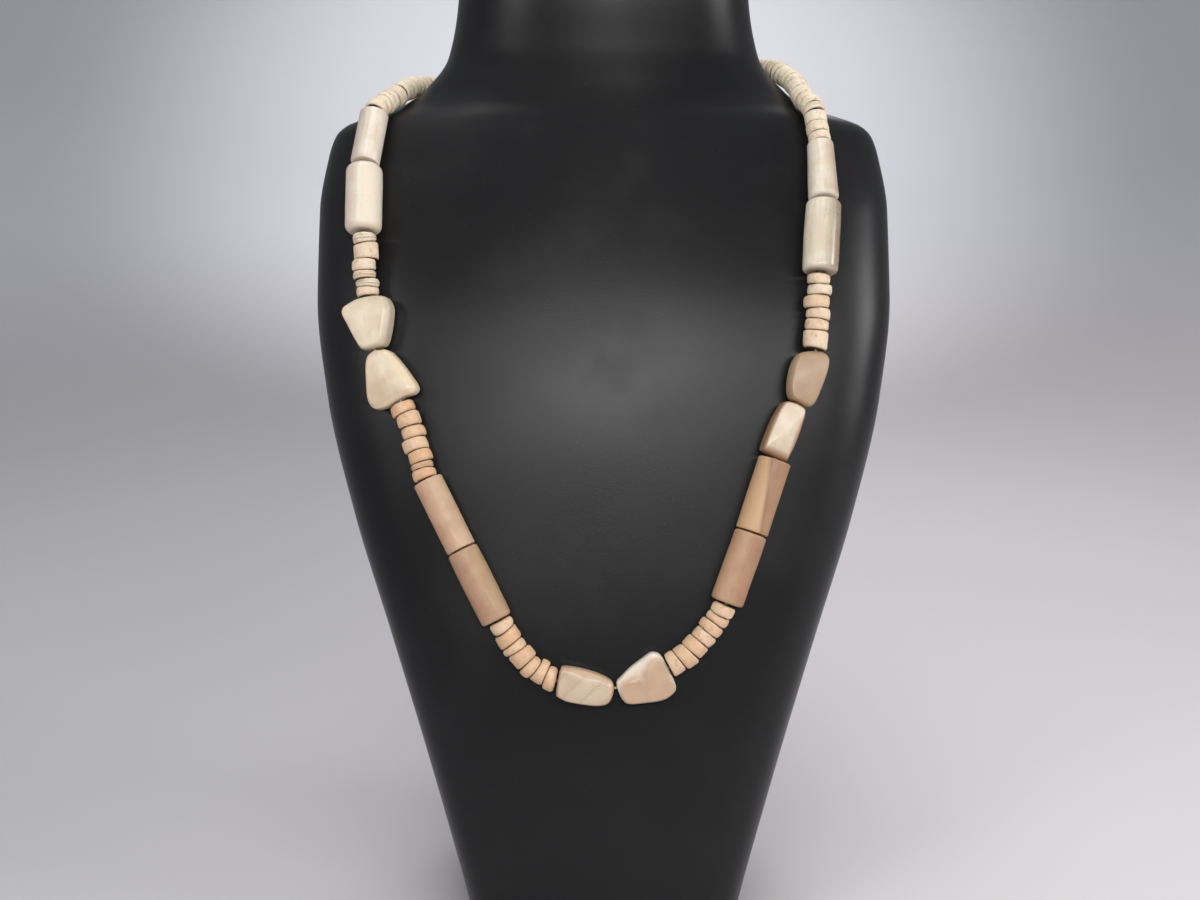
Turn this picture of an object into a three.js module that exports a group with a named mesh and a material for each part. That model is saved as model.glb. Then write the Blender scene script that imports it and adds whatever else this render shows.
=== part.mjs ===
// A beaded necklace laid round a plain display bust, in millimetres, +Z up.
// The origin is the middle of the bust's foot, and the chest faces -Y.

import * as THREE from 'three';

// Sizes of the stand
const STAND_HEIGHT = 368;
const STAND_WIDTH = 206.4;
const STAND_FRONT = 49;
const STAND_BACK = 82;
const STAND_EDGE = 4;

// Sizes of the string and its beads
const DISC_WIDTH = 8.1;
const DISC_THICK = 3.3;
const DISC_GROOVE = 0.7;
const BORE = 1.6;
const THREAD = 0.8;
const JOINT_GAP = 0.3;
const SKIN_GAP = 0.35;

// Fineness of the meshes
const STAND_SIDES = 40;
const BEAD_SIDES = 12;
const DISC_SIDES = 10;
const THREAD_SIDES = 5;
const RINGS_PER_SECTION = 2;
const EDGE_RINGS = 3;
const RIM_SHARES = [0.25, 0.75];

// How closely the string is laid on the stand. Each taut pass pulls it a share of the way to
// straight, and every pass lifts what is too near the stand by a share of what it lacks, as found
// at these shares of each bead's length.
const TAUT_PASSES = 45;
const CLEARING_PASSES = 20;
const TAUTNESS = 0.5;
const LIFTING = 0.4;
const CONTACT_SHARES = [0.05, 0.25, 0.5, 0.75, 0.95];
const SKIN_STEP = 0.05;
const ROUTE_STRIDE = 0.001;
const ROUTE_HALVINGS = 24;
const BACK_SAMPLES = 240;

// Level sections of the stand. up is a share of the height, wide of the width, front and back of
// the reach forwards and backwards, and square is the section's squareness (2 is an ellipse).
const STAND_SECTIONS = [
  { up: 0.0, wide: 0.442, front: 1.0, back: 0.598, square: 5.0 },
  { up: 0.057, wide: 0.492, front: 0.98, back: 0.604, square: 5.0 },
  { up: 0.163, wide: 0.605, front: 0.878, back: 0.622, square: 4.6 },
  { up: 0.272, wide: 0.731, front: 0.735, back: 0.646, square: 4.2 },
  { up: 0.38, wide: 0.86, front: 0.571, back: 0.671, square: 3.7 },
  { up: 0.489, wide: 0.959, front: 0.408, back: 0.701, square: 3.2 },
  { up: 0.584, wide: 0.999, front: 0.245, back: 0.732, square: 2.9 },
  { up: 0.666, wide: 1.0, front: 0.065, back: 0.768, square: 2.45 },
  { up: 0.72, wide: 0.975, front: -0.067, back: 0.805, square: 2.05 },
  { up: 0.74, wide: 0.953, front: -0.115, back: 0.823, square: 1.92 },
  { up: 0.75, wide: 0.918, front: -0.139, back: 0.834, square: 1.88 },
  { up: 0.758, wide: 0.845, front: -0.157, back: 0.846, square: 1.88 },
  { up: 0.765, wide: 0.755, front: -0.172, back: 0.857, square: 1.92 },
  { up: 0.783, wide: 0.65, front: -0.204, back: 0.878, square: 2.0 },
  { up: 0.818, wide: 0.554, front: -0.245, back: 0.915, square: 2.06 },
  { up: 0.87, wide: 0.5185, front: -0.273, back: 0.951, square: 2.1 },
  { up: 0.924, wide: 0.505, front: -0.273, back: 0.976, square: 2.1 },
  { up: 1.0, wide: 0.4845, front: -0.245, back: 1.0, square: 2.1 },
];

// Where the string lies on the stand, from the bottom of the loop up the wearer's right side,
// round the back of the neck and down the other side. turn is in degrees round the stand from its
// front, and lift is an extra distance off its skin, as a share of a disc's width.
const STRING_ROUTE = [
  { turn: 0.1, up: 0.2403, lift: 0 },
  { turn: -2.0, up: 0.2463, lift: 0 },
  { turn: -5.6, up: 0.2606, lift: 0 },
  { turn: -8.0, up: 0.2771, lift: 0 },
  { turn: -10.5, up: 0.2969, lift: 0 },
  { turn: -17.4, up: 0.3579, lift: 0 },
  { turn: -25.4, up: 0.4195, lift: 0 },
  { turn: -28.6, up: 0.455, lift: 0 },
  { turn: -31.8, up: 0.4871, lift: 0 },
  { turn: -39.6, up: 0.5328, lift: 0 },
  { turn: -42.4, up: 0.5787, lift: 0 },
  { turn: -44.9, up: 0.6337, lift: 0 },
  { turn: -49.8, up: 0.6986, lift: 0 },
  { turn: -51.6, up: 0.727, lift: 0 },
  { turn: -55.5, up: 0.7485, lift: 0 },
  { turn: -61.2, up: 0.7575, lift: 0.05 },
  { turn: -68, up: 0.7645, lift: 0.05 },
  { turn: -76, up: 0.771, lift: 0 },
  { turn: -85, up: 0.777, lift: 0 },
  { turn: -99.4, up: 0.7838, lift: 0 },
  { turn: -124.5, up: 0.7933, lift: 0 },
  { turn: -150, up: 0.7997, lift: 0 },
  { turn: 180, up: 0.804, lift: 0 },
  { turn: 150.4, up: 0.8076, lift: 0 },
  { turn: 124.7, up: 0.8085, lift: 0 },
  { turn: 100, up: 0.8042, lift: 0 },
  { turn: 88, up: 0.791, lift: 0 },
  { turn: 79, up: 0.7815, lift: 0 },
  { turn: 72, up: 0.774, lift: 0 },
  { turn: 65.5, up: 0.7675, lift: 0 },
  { turn: 58.5, up: 0.7612, lift: 0 },
  { turn: 52.5, up: 0.7545, lift: 0 },
  { turn: 48.3, up: 0.7405, lift: 0 },
  { turn: 46.4, up: 0.7228, lift: 0 },
  { turn: 41, up: 0.6679, lift: 0 },
  { turn: 36, up: 0.5998, lift: 0 },
  { turn: 34.8, up: 0.5658, lift: 0 },
  { turn: 34.1, up: 0.5312, lift: 0 },
  { turn: 29.2, up: 0.4861, lift: 0 },
  { turn: 23.7, up: 0.438, lift: 0 },
  { turn: 18.5, up: 0.3727, lift: 0 },
  { turn: 13.7, up: 0.3117, lift: 0 },
  { turn: 9.5, up: 0.2838, lift: 0 },
  { turn: 6.2, up: 0.2667, lift: 0 },
  { turn: 3.9, up: 0.258, lift: 0 },
];

// Outlines of the beads, from the end that the string reaches first. at is a share of the length,
// left and right are shares of the width beside the bore, and deep is a share of the thickness.
const roundOutline = (rows) => rows.map(({ at, girth }) => (
  { at, left: girth / 2, right: girth / 2, deep: girth }
));

const STRAIGHT_TUBE = roundOutline([
  { at: 0, girth: 0.72 },
  { at: 0.025, girth: 0.93 },
  { at: 0.07, girth: 1 },
  { at: 0.93, girth: 1 },
  { at: 0.975, girth: 0.93 },
  { at: 1, girth: 0.72 },
]);
const BARREL_TUBE = roundOutline([
  { at: 0, girth: 0.6 },
  { at: 0.03, girth: 0.82 },
  { at: 0.12, girth: 0.95 },
  { at: 0.5, girth: 1 },
  { at: 0.88, girth: 0.95 },
  { at: 0.97, girth: 0.82 },
  { at: 1, girth: 0.6 },
]);
const TAPERED_TUBE = roundOutline([
  { at: 0, girth: 0.72 },
  { at: 0.03, girth: 0.94 },
  { at: 0.08, girth: 1 },
  { at: 0.5, girth: 0.96 },
  { at: 0.92, girth: 0.87 },
  { at: 0.975, girth: 0.79 },
  { at: 1, girth: 0.6 },
]);
const WEDGE_POINT_DOWN = [
  { at: 0, left: 0.13, right: 0.23, deep: 0.5 },
  { at: 0.03, left: 0.32, right: 0.29, deep: 0.7 },
  { at: 0.09, left: 0.42, right: 0.43, deep: 0.9 },
  { at: 0.18, left: 0.46, right: 0.54, deep: 1 },
  { at: 0.5, left: 0.41, right: 0.46, deep: 1 },
  { at: 0.82, left: 0.29, right: 0.31, deep: 0.95 },
  { at: 0.93, left: 0.25, right: 0.26, deep: 0.8 },
  { at: 1, left: 0.09, right: 0.21, deep: 0.5 },
];
const WEDGE_POINT_UP = [
  { at: 0, left: 0.09, right: 0.16, deep: 0.5 },
  { at: 0.04, left: 0.17, right: 0.24, deep: 0.75 },
  { at: 0.18, left: 0.265, right: 0.33, deep: 0.95 },
  { at: 0.5, left: 0.395, right: 0.44, deep: 1 },
  { at: 0.82, left: 0.49, right: 0.51, deep: 1 },
  { at: 0.92, left: 0.47, right: 0.485, deep: 0.9 },
  { at: 0.97, left: 0.38, right: 0.455, deep: 0.7 },
  { at: 1, left: 0.1, right: 0.26, deep: 0.5 },
];
const PEBBLE = [
  { at: 0, left: 0.17, right: 0.3, deep: 0.5 },
  { at: 0.03, left: 0.275, right: 0.405, deep: 0.7 },
  { at: 0.08, left: 0.41, right: 0.465, deep: 0.9 },
  { at: 0.2, left: 0.43, right: 0.53, deep: 1 },
  { at: 0.5, left: 0.4, right: 0.58, deep: 1 },
  { at: 0.82, left: 0.275, right: 0.525, deep: 0.95 },
  { at: 0.92, left: 0.2, right: 0.455, deep: 0.8 },
  { at: 1, left: 0.12, right: 0.22, deep: 0.45 },
];
const WEDGE_LYING = [
  { at: 0, left: 0.095, right: 0.22, deep: 0.42 },
  { at: 0.04, left: 0.11, right: 0.34, deep: 0.65 },
  { at: 0.18, left: 0.195, right: 0.45, deep: 0.95 },
  { at: 0.5, left: 0.345, right: 0.55, deep: 1 },
  { at: 0.67, left: 0.4, right: 0.6, deep: 1 },
  { at: 0.82, left: 0.42, right: 0.58, deep: 1 },
  { at: 0.92, left: 0.34, right: 0.545, deep: 0.9 },
  { at: 0.97, left: 0.18, right: 0.47, deep: 0.7 },
  { at: 1, left: 0.1, right: 0.36, deep: 0.5 },
];
const BLOCK = [
  { at: 0, left: 0.3, right: 0.25, deep: 0.5 },
  { at: 0.03, left: 0.46, right: 0.33, deep: 0.72 },
  { at: 0.09, left: 0.56, right: 0.37, deep: 0.95 },
  { at: 0.35, left: 0.61, right: 0.41, deep: 1 },
  { at: 0.6, left: 0.6, right: 0.41, deep: 1 },
  { at: 0.82, left: 0.52, right: 0.37, deep: 1 },
  { at: 0.93, left: 0.4, right: 0.3, deep: 0.85 },
  { at: 1, left: 0.2, right: 0.17, deep: 0.5 },
];
const DROP = [
  { at: 0, left: 0.13, right: 0.3, deep: 0.5 },
  { at: 0.04, left: 0.24, right: 0.35, deep: 0.7 },
  { at: 0.1, left: 0.35, right: 0.37, deep: 0.9 },
  { at: 0.33, left: 0.47, right: 0.44, deep: 1 },
  { at: 0.6, left: 0.53, right: 0.46, deep: 1 },
  { at: 0.82, left: 0.47, right: 0.44, deep: 0.95 },
  { at: 0.92, left: 0.32, right: 0.41, deep: 0.8 },
  { at: 1, left: 0.13, right: 0.29, deep: 0.5 },
];

// The string from the wearer's right shoulder, down, across the chest and up to the other
// shoulder. A bead's length, width and thickness are shares of DISC_WIDTH, and a row of discs
// lists each disc's thickness as a share of DISC_THICK.
const ROUND = 2;
const SLAB = 3.4;
const STRING = [
  { name: 'discs_1', discs: [1, 1, 1, 1, 1, 1] },
  { name: 'tube_bead_1', length: 2.494, width: 1.222, thick: 1.222, square: ROUND, outline: STRAIGHT_TUBE },
  { name: 'tube_bead_2', length: 3.025, width: 1.556, thick: 1.481, square: ROUND, outline: BARREL_TUBE },
  { name: 'discs_2', discs: [0.95, 1.7, 1.15, 0.85, 0.85, 1] },
  { name: 'wedge_bead_1', length: 2.222, width: 1.975, thick: 0.926, square: SLAB, outline: WEDGE_POINT_DOWN },
  { name: 'wedge_bead_2', length: 2.432, width: 2.062, thick: 0.926, square: SLAB, outline: WEDGE_POINT_UP },
  { name: 'discs_3', discs: [1.18, 1.42, 1.27, 1.36, 1.17, 0.71, 1.06] },
  { name: 'tube_bead_3', length: 3.123, width: 1.222, thick: 1.222, square: ROUND, outline: STRAIGHT_TUBE },
  { name: 'tube_bead_4', length: 3.16, width: 1.309, thick: 1.309, square: ROUND, outline: STRAIGHT_TUBE },
  { name: 'discs_4', discs: [1.12, 1.5, 0.92, 1.53, 1.06, 1.2, 1.16] },
  { name: 'slab_bead_1', length: 2.309, width: 1.432, thick: 0.988, square: SLAB, outline: PEBBLE },
  { name: 'wedge_bead_3', length: 2.247, width: 1.901, thick: 0.926, square: SLAB, outline: WEDGE_LYING },
  { name: 'discs_5', discs: [1.21, 1.37, 1.37, 1.21, 1.09, 1.08, 1.1] },
  { name: 'tube_bead_5', length: 2.988, width: 1.346, thick: 1.309, square: ROUND, outline: STRAIGHT_TUBE },
  { name: 'tube_bead_6', length: 3.062, width: 1.346, thick: 1.309, square: ROUND, outline: STRAIGHT_TUBE },
  { name: 'slab_bead_2', length: 2.395, width: 1.235, thick: 0.988, square: SLAB, outline: BLOCK },
  { name: 'wedge_bead_4', length: 2.37, width: 1.444, thick: 0.864, square: SLAB, outline: DROP },
  { name: 'discs_6', discs: [1.95, 1.08, 1.15, 1.3, 1.15, 1] },
  { name: 'tube_bead_7', length: 3.136, width: 1.506, thick: 1.481, square: ROUND, outline: BARREL_TUBE },
  { name: 'tube_bead_8', length: 2.704, width: 1.284, thick: 1.259, square: ROUND, outline: TAPERED_TUBE },
  { name: 'discs_7', discs: [1, 1, 1, 1, 1.05, 1.15, 1.1, 1, 1.1] },
];
const LOWEST_BEAD = 'wedge_bead_3';
const BEADS = STRING.map((row) => (row.discs ? row : {
  ...row,
  length: row.length * DISC_WIDTH,
  width: row.width * DISC_WIDTH,
  thick: row.thick * DISC_WIDTH,
}));

// Colours
const STAND_COLOUR = 0x26272a;
const BONE_COLOUR = 0xe6d3b4;
const TAN_COLOUR = 0xd3b294;
const THREAD_COLOUR = 0xcdbfa4;

// A smooth curve through a column of the stand's sections that never overshoots them.
function columnSlopes(key) {
  const rise = STAND_SECTIONS.slice(1).map((row, i) => (
    (row[key] - STAND_SECTIONS[i][key]) / (row.up - STAND_SECTIONS[i].up)
  ));
  const inner = rise.slice(1).map((after, i) => {
    const before = rise[i];
    return before * after <= 0 ? 0 : (2 * before * after) / (before + after);
  });
  return [rise[0], ...inner, rise[rise.length - 1]];
}

const COLUMNS = ['wide', 'front', 'back', 'square'];
const SLOPES = Object.fromEntries(COLUMNS.map((key) => [key, columnSlopes(key)]));

function column(key, up) {
  const last = STAND_SECTIONS.length - 2;
  const found = STAND_SECTIONS.findIndex((row) => row.up > up) - 1;
  const i = found < 0 ? (up <= 0 ? 0 : last) : Math.min(found, last);
  const [low, high] = [STAND_SECTIONS[i], STAND_SECTIONS[i + 1]];
  const span = high.up - low.up;
  const t = THREE.MathUtils.clamp((up - low.up) / span, 0, 1);
  const [s0, s1] = [SLOPES[key][i] * span, SLOPES[key][i + 1] * span];
  const stay = low[key] * (2 * t ** 3 - 3 * t ** 2 + 1) + high[key] * (3 * t ** 2 - 2 * t ** 3);
  return stay + s0 * (t ** 3 - 2 * t ** 2 + t) + s1 * (t ** 3 - t ** 2);
}

// The stand's level section at a height: half width, middle, half depth and squareness.
function sectionAt(up) {
  const front = -column('front', up) * STAND_FRONT;
  const back = column('back', up) * STAND_BACK;
  return {
    half: (column('wide', up) * STAND_WIDTH) / 2,
    middle: (front + back) / 2,
    deep: (back - front) / 2,
    square: column('square', up),
  };
}

const bulge = (value, power) => Math.sign(value) * Math.abs(value) ** power;

function skinPoint(turn, up, inset = 0) {
  const { half, middle, deep, square } = sectionAt(up);
  const x = (half - inset) * bulge(Math.sin(turn), 2 / square);
  const y = middle - (deep - inset) * bulge(Math.cos(turn), 2 / square);
  return new THREE.Vector3(x, y, up * STAND_HEIGHT);
}

// How far a point is out from the stand's middle, where 1 is its skin.
function outwardShare(point) {
  const { half, middle, deep, square } = sectionAt(point.z / STAND_HEIGHT);
  const across = Math.abs(point.x / half) ** square;
  const along = Math.abs((point.y - middle) / deep) ** square;
  return (across + along) ** (1 / square);
}

// The way out from the skin near a point, and the point's distance from the skin.
function skinUnder(point) {
  const slope = new THREE.Vector3(...['x', 'y', 'z'].map((axis) => {
    const [ahead, behind] = [point.clone(), point.clone()];
    ahead[axis] += SKIN_STEP;
    behind[axis] -= SKIN_STEP;
    return (outwardShare(ahead) - outwardShare(behind)) / (2 * SKIN_STEP);
  }));
  const distance = (outwardShare(point) - 1) / slope.length();
  return { out: slope.normalize(), distance };
}

const routeTurn = (row) => THREE.MathUtils.degToRad(row.turn);
const ROUTE = new THREE.CatmullRomCurve3(STRING_ROUTE.map((row) => {
  const point = skinPoint(routeTurn(row), row.up);
  return point.addScaledVector(skinUnder(point).out, row.lift * DISC_WIDTH);
}), true, 'centripetal');

function routePoint(share, rise) {
  const point = ROUTE.getPoint(((share % 1) + 1) % 1);
  return point.addScaledVector(skinUnder(point).out, rise);
}

// The share of the route at which it is one pitch away from a point, going one way.
function nextShare(from, share, way, pitch, rise) {
  const stride = way * ROUTE_STRIDE;
  let near = share;
  while (routePoint(near + stride, rise).distanceTo(from) < pitch) near += stride;
  let far = near + stride;
  for (let halving = 0; halving < ROUTE_HALVINGS; halving += 1) {
    const middle = (near + far) / 2;
    if (routePoint(middle, rise).distanceTo(from) < pitch) near = middle;
    else far = middle;
  }
  return near;
}

// One entry for each bead or disc of the string's front, in order.
const FRONT = BEADS.flatMap((row) => (row.discs
  ? row.discs.map((share) => ({ row, length: share * DISC_THICK, half: DISC_WIDTH / 2 }))
  : [{ row, length: row.length, half: row.thick / 2 }]));
const LOWEST = FRONT.findIndex((bead) => bead.row.name === LOWEST_BEAD);

// Joints of the front, stepped off along the route both ways from the lowest one.
function stepJoints(rise, pitch) {
  const joints = new Array(FRONT.length + 1);
  const ends = [0, 0];
  joints[LOWEST] = routePoint(0, rise[LOWEST]);
  [[1, -1], [-1, 1]].forEach(([order, way], side) => {
    let share = 0;
    for (let i = LOWEST; order > 0 ? i < FRONT.length : i > 0; i += order) {
      const bead = order > 0 ? i : i - 1;
      share = nextShare(joints[i], share, way, pitch[bead], rise[i + order]);
      joints[i + order] = routePoint(share, rise[i + order]);
    }
    ends[side] = share;
  });
  return { joints, ends };
}

const direction = (joints, i) => joints[i + 1].clone().sub(joints[i]).normalize();

// How far out a joint would move if the string ran straight between its two neighbours.
function tautShift(joints, pitch, i) {
  const share = pitch[i - 1] / (pitch[i - 1] + pitch[i]);
  const straight = joints[i - 1].clone().lerp(joints[i + 1], share);
  return straight.sub(joints[i]).dot(skinUnder(joints[i]).out);
}

// Lets two neighbouring beads that meet at an angle stand apart, so that their ends don't cut.
function endGap(joints, i, bead) {
  const own = FRONT[bead];
  if (own.row.discs || i === 0 || i === FRONT.length) return JOINT_GAP / 2;
  const [before, after] = [direction(joints, i - 1), direction(joints, i)];
  const half = before.angleTo(after) / 2;
  const inner = after.clone().sub(before).normalize();
  const ends = own.row.outline;
  const end = i === bead ? ends[0] : ends[ends.length - 1];
  const frame = beadFrame(joints[bead], joints[bead + 1]);
  const side = inner.dot(frame.left);
  const reach = (side > 0 ? end.left : end.right) * own.row.width * Math.abs(side)
    + (end.deep * own.row.thick * Math.abs(inner.dot(frame.out))) / 2;
  return (JOINT_GAP / 2 + reach * Math.sin(half)) / Math.cos(half);
}

// Settles the front: the string pulls straight, every bead keeps its length and its joints
// angle, and each stands just clear of the stand.
function settleFront() {
  const rise = FRONT.map((bead) => bead.half + SKIN_GAP);
  rise.push(rise[rise.length - 1]);
  const least = Math.min(...rise);
  let pitch = FRONT.map((bead) => bead.length + (bead.row.discs ? 0 : JOINT_GAP));
  let found = stepJoints(rise, pitch);
  for (let pass = 0; pass < TAUT_PASSES + CLEARING_PASSES; pass += 1) {
    const { joints } = found;
    const isHeld = (i) => pass >= TAUT_PASSES || i === 0 || i === FRONT.length;
    const pull = joints.map((joint, i) => (isHeld(i) ? 0 : tautShift(joints, pitch, i)));
    pull.forEach((shift, i) => {
      rise[i] = Math.max(least, rise[i] + shift * TAUTNESS);
    });
    FRONT.forEach((bead, i) => CONTACT_SHARES.forEach((share) => {
      const spot = joints[i].clone().lerp(joints[i + 1], share);
      const lift = LIFTING * Math.max(0, bead.half + SKIN_GAP - skinUnder(spot).distance);
      rise[i] += lift * (1 - share);
      rise[i + 1] += lift * share;
    }));
    pitch = FRONT.map((bead, i) => (bead.row.discs
      ? bead.length
      : bead.length + endGap(joints, i, i) + endGap(joints, i + 1, i)));
    found = stepJoints(rise, pitch);
  }
  return found;
}

// Joints of equal discs that fill the route behind the neck, from one share to another.
function fillBack(from, to) {
  const rise = DISC_WIDTH / 2 + SKIN_GAP;
  const points = Array.from({ length: BACK_SAMPLES + 1 }, (_, i) => {
    const point = routePoint(from + ((to - from) * i) / BACK_SAMPLES, rise);
    const { out, distance } = skinUnder(point);
    return point.addScaledVector(out, Math.max(0, rise - distance));
  });
  const path = new THREE.CatmullRomCurve3(points);
  const count = Math.max(2, 2 * Math.round(path.getLength() / DISC_THICK / 2));
  return path.getSpacedPoints(count);
}

const SETTLED = settleFront();
const BACK = fillBack(1 + SETTLED.ends[0], SETTLED.ends[1]);

// Frame at a point of the string: along it, out from the stand, and to the left.
function frameAt(point, along) {
  const { out } = skinUnder(point);
  out.addScaledVector(along, -out.dot(along)).normalize();
  return { along, out, left: out.clone().cross(along) };
}

function beadFrame(start, end) {
  return frameAt(start.clone().lerp(end, 0.5), end.clone().sub(start).normalize());
}

// Closed surfaces from rings of points
function ringSurface(rings, closed) {
  const sides = rings[0].length;
  const points = rings.flat();
  const faces = [];
  const links = closed ? rings.length : rings.length - 1;
  for (let i = 0; i < links; i += 1) {
    const next = (i + 1) % rings.length;
    for (let j = 0; j < sides; j += 1) {
      const k = (j + 1) % sides;
      faces.push(i * sides + j, i * sides + k, next * sides + k);
      faces.push(i * sides + j, next * sides + k, next * sides + j);
    }
  }
  if (!closed) {
    const last = (rings.length - 1) * sides;
    for (let j = 1; j < sides - 1; j += 1) {
      faces.push(0, j + 1, j);
      faces.push(last, last + j, last + j + 1);
    }
  }
  const geometry = new THREE.BufferGeometry();
  const positions = points.flatMap((point) => point.toArray());
  geometry.setAttribute('position', new THREE.Float32BufferAttribute(positions, 3));
  geometry.setIndex(faces);
  geometry.computeVertexNormals();
  return geometry;
}

// A ring round a centre, whose reach to each side may differ.
function ring(centre, frame, reach, square, sides) {
  return Array.from({ length: sides }, (_, j) => {
    const angle = (2 * Math.PI * j) / sides;
    const across = bulge(Math.cos(angle), 2 / square) * (Math.cos(angle) > 0 ? reach.left : reach.right);
    const outward = bulge(Math.sin(angle), 2 / square) * reach.deep;
    return centre.clone().addScaledVector(frame.left, across).addScaledVector(frame.out, outward);
  });
}

const evenReach = (radius) => ({ left: radius, right: radius, deep: radius });

function standGeometry() {
  const edge = STAND_EDGE / STAND_HEIGHT;
  const stops = STAND_SECTIONS.slice(1).flatMap((row, i) => {
    const below = STAND_SECTIONS[i].up;
    const steps = Array.from({ length: RINGS_PER_SECTION }, (_, k) => k / RINGS_PER_SECTION);
    return steps.map((share) => below + (row.up - below) * share);
  });
  const ringStops = stops.filter((up) => up > edge).map((up) => ({ up, inset: 0 }));
  const edgeStops = Array.from({ length: EDGE_RINGS + 1 }, (_, k) => (k * Math.PI) / 2 / EDGE_RINGS);
  const bottom = edgeStops.map((angle) => ({
    up: edge * (1 - Math.sin(angle)),
    inset: STAND_EDGE * (1 - Math.cos(angle)),
  })).reverse();
  const top = edgeStops.map((angle) => ({
    up: 1 - edge * (1 - Math.sin(angle)),
    inset: STAND_EDGE * (1 - Math.cos(angle)),
  }));
  const rings = [...bottom, ...ringStops, ...top].map(({ up, inset }) => (
    Array.from({ length: STAND_SIDES }, (_, j) => skinPoint((2 * Math.PI * j) / STAND_SIDES, up, inset))
  ));
  return ringSurface(rings, false);
}

function beadGeometry(row, start, end, startGap) {
  const frame = beadFrame(start, end);
  const outer = row.outline.map((section) => {
    const centre = start.clone().addScaledVector(frame.along, startGap + section.at * row.length);
    const reach = {
      left: section.left * row.width,
      right: section.right * row.width,
      deep: (section.deep * row.thick) / 2,
    };
    return ring(centre, frame, reach, row.square, BEAD_SIDES);
  });
  const bore = [row.length, 0].map((at) => {
    const centre = start.clone().addScaledVector(frame.along, startGap + at);
    return ring(centre, frame, evenReach(BORE / 2), ROUND, BEAD_SIDES);
  });
  return ringSurface([...outer, ...bore], true);
}

// The bore and the thread in it turn at every second joint of a row, and at its last.
const everySecond = (list) => list.filter((_, i) => i % 2 === 0 || i === list.length - 1);

// A row of discs fused into one body, each with a rim between two shallow grooves.
function discRowGeometry(joints, firstWay, lastWay) {
  const radius = DISC_WIDTH / 2;
  const last = joints.length - 1;
  const frames = joints.map((joint, i) => {
    if (i === 0) return frameAt(joint, firstWay);
    if (i === last) return frameAt(joint, lastWay);
    return frameAt(joint, direction(joints, i - 1).add(direction(joints, i)).normalize());
  });
  const centres = joints.map((joint, i) => {
    const shift = i === 0 ? JOINT_GAP / 2 : (i === last ? -JOINT_GAP / 2 : 0);
    return joint.clone().addScaledVector(frames[i].along, shift);
  });
  const groove = (i) => ring(centres[i], frames[i], evenReach(radius - DISC_GROOVE), ROUND, DISC_SIDES);
  const outer = [];
  for (let i = 0; i < last; i += 1) {
    outer.push(groove(i));
    RIM_SHARES.forEach((share) => {
      const centre = centres[i].clone().lerp(centres[i + 1], share);
      const along = frames[i].along.clone().lerp(frames[i + 1].along, share).normalize();
      outer.push(ring(centre, frameAt(centre, along), evenReach(radius), ROUND, DISC_SIDES));
    });
  }
  outer.push(groove(last));
  const bore = everySecond(centres.map((centre, i) => (
    ring(centre, frames[i], evenReach(BORE / 2), ROUND, DISC_SIDES)
  )));
  return ringSurface([...outer, ...bore.reverse()], true);
}

// The thread is one closed loop through every joint.
function threadGeometry(joints) {
  const count = joints.length;
  const rings = joints.map((joint, i) => {
    const before = joint.clone().sub(joints[(i + count - 1) % count]).normalize();
    const after = joints[(i + 1) % count].clone().sub(joint).normalize();
    const frame = frameAt(joint, before.add(after).normalize());
    return ring(joint, frame, evenReach(THREAD / 2), ROUND, THREAD_SIDES);
  });
  return ringSurface(rings, true);
}

const finish = (color, roughness) => new THREE.MeshStandardMaterial({ color, roughness, metalness: 0 });
const STAND_FINISH = finish(STAND_COLOUR, 0.55);
const BONE_FINISH = finish(BONE_COLOUR, 0.35);
const TAN_FINISH = finish(TAN_COLOUR, 0.3);
const THREAD_FINISH = finish(THREAD_COLOUR, 0.8);

function part(name, geometry, material) {
  const mesh = new THREE.Mesh(geometry, material);
  mesh.name = name;
  return mesh;
}

// The joints of each row of the string, in order. The loop starts and ends behind the neck.
const BACK_MIDDLE = (BACK.length - 1) / 2;
const ROW_JOINTS = BEADS.map((row, index) => {
  const first = FRONT.findIndex((bead) => bead.row === row);
  const count = row.discs ? row.discs.length : 1;
  const own = SETTLED.joints.slice(first, first + count + 1);
  if (index === 0) return [...BACK.slice(BACK_MIDDLE), ...own.slice(1)];
  if (index === BEADS.length - 1) return [...own, ...BACK.slice(1, BACK_MIDDLE + 1)];
  return own;
});

function stringPart(row, index) {
  const joints = ROW_JOINTS[index];
  if (row.discs) {
    const before = ROW_JOINTS[(index + BEADS.length - 1) % BEADS.length];
    const after = ROW_JOINTS[(index + 1) % BEADS.length];
    const ways = [direction(before, before.length - 2), direction(after, 0)];
    return part(row.name, discRowGeometry(joints, ...ways), BONE_FINISH);
  }
  const first = FRONT.findIndex((bead) => bead.row === row);
  const gap = endGap(SETTLED.joints, first, first);
  const look = row.square === ROUND ? TAN_FINISH : BONE_FINISH;
  return part(row.name, beadGeometry(row, joints[0], joints[1], gap), look);
}

const necklace = new THREE.Group();
necklace.add(part('neck_bust', standGeometry(), STAND_FINISH));
necklace.add(...BEADS.map(stringPart));
const THREAD_JOINTS = ROW_JOINTS.flatMap((joints) => everySecond(joints).slice(0, -1));
necklace.add(part('thread', threadGeometry(THREAD_JOINTS), THREAD_FINISH));

export default necklace;
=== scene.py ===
# The looks of a bone bead necklace that hangs on a black display bust. Everything is in metres.

import math
import random

import bpy
import numpy as np
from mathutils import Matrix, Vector, noise
from mathutils.bvhtree import BVHTree
from mathutils.kdtree import KDTree


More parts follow.
